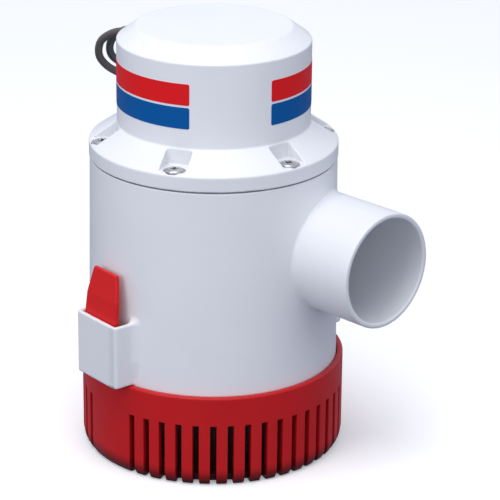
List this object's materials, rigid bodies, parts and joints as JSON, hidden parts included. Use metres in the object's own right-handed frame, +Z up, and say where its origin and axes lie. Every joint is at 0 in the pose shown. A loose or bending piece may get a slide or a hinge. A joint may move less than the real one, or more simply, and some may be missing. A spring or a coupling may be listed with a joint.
{
  "type": "bilge pump",
  "caption": "Upright submersible bilge pump on a slotted quick-release strainer base, with a side hose spigot and a sealed electric motor under a stepped cover.",
  "frame": {"origin": "on the pump's axis, at the underside of the strainer base", "axes": "+Z up the pump's axis, +X parallel to the discharge spigot towards its mouth, which lies off to the +Y side"},
  "size_m": [0.1754, 0.153, 0.1945],
  "materials": {
    "strainer_plastic": "moulded, satin, deep red",
    "tab_plastic": "moulded, satin, red",
    "housing_plastic": "moulded, satin, white",
    "black_plastic": "moulded, matt",
    "seal_rubber": "moulded rubber",
    "gasket_rubber": "flat gasket sheet, blue grey",
    "lead_jacket": "soft extruded jacket, dark grey",
    "lead_jacket_brown": "soft extruded jacket, dark brown grey",
    "tie_nylon": "nylon strap",
    "stainless_steel": "passivated stainless",
    "plated_steel": "zinc plated",
    "bearing_steel": "ground and polished",
    "spring_steel": "drawn wire",
    "magnet_ferrite": "sintered ferrite",
    "core_steel": "varnished laminations",
    "winding_copper": "enamelled copper",
    "commutator_copper": "turned copper",
    "sintered_bronze": "oil-filled sintered bronze",
    "sheet_brass": "pressed sheet brass",
    "brush_carbon": "pressed carbon",
    "band_red": "thin printed film",
    "band_blue": "thin printed film"
  },
  "bodies": {
    "strainer": {"strainer_base": "strainer_plastic", "lead_coil": "lead_jacket", "coil_tie": "tie_nylon"},
    "tab_front": {"release_tab_front": "tab_plastic"},
    "tab_rear": {"release_tab_rear": "tab_plastic"},
    "pump": {"pump_housing": "housing_plastic", "housing_gasket": "gasket_rubber", "motor_cover": "housing_plastic", "cover_screws": "stainless_steel", "pod_seal_ring": "seal_rubber", "motor_pod": "housing_plastic", "shaft_seal": "seal_rubber", "motor_can": "plated_steel", "drive_end_plate": "plated_steel", "brush_end_bell": "black_plastic", "motor_tie_bolts": "stainless_steel", "field_magnets": "magnet_ferrite", "lower_bearing_outer_race": "bearing_steel", "upper_bushing": "sintered_bronze", "brush_holders": "sheet_brass", "carbon_brushes": "brush_carbon", "brush_springs": "spring_steel", "lead_grommet": "seal_rubber", "inner_lead_black": "lead_jacket", "inner_lead_brown": "lead_jacket_brown", "lead_black": "lead_jacket", "lead_brown": "lead_jacket_brown", "trim_band_red": "band_red", "trim_band_blue": "band_blue"},
    "rotor": {"motor_shaft": "stainless_steel", "lower_bearing_inner_race": "bearing_steel", "lower_bearing_balls": "bearing_steel", "armature_core": "core_steel", "armature_windings": "winding_copper", "commutator": "commutator_copper", "impeller": "black_plastic", "impeller_washer": "stainless_steel", "impeller_nut": "stainless_steel"}
  },
  "joints": [
    {"name": "pump_lift", "type": "slide", "parent": "strainer", "child": "pump", "axis": [0, 0, 1], "range_m": [0, 0.08]},
    {"name": "tab_front_press", "type": "hinge", "parent": "strainer", "child": "tab_front", "pos_m": [-0.00607, -0.05778, 0.0425], "axis": [-0.9945, 0.1045, 0], "range_deg": [0, 2.5], "stiffness_Nm_per_rad": 8},
    {"name": "tab_rear_press", "type": "hinge", "parent": "strainer", "child": "tab_rear", "pos_m": [0.00607, 0.05778, 0.0425], "axis": [0.9945, -0.1045, 0], "range_deg": [0, 2.5], "stiffness_Nm_per_rad": 8},
    {"name": "rotor_spin", "type": "hinge", "parent": "pump", "child": "rotor", "pos_m": [0, 0, 0.1], "axis": [0, 0, 1], "continuous": true}
  ]
}
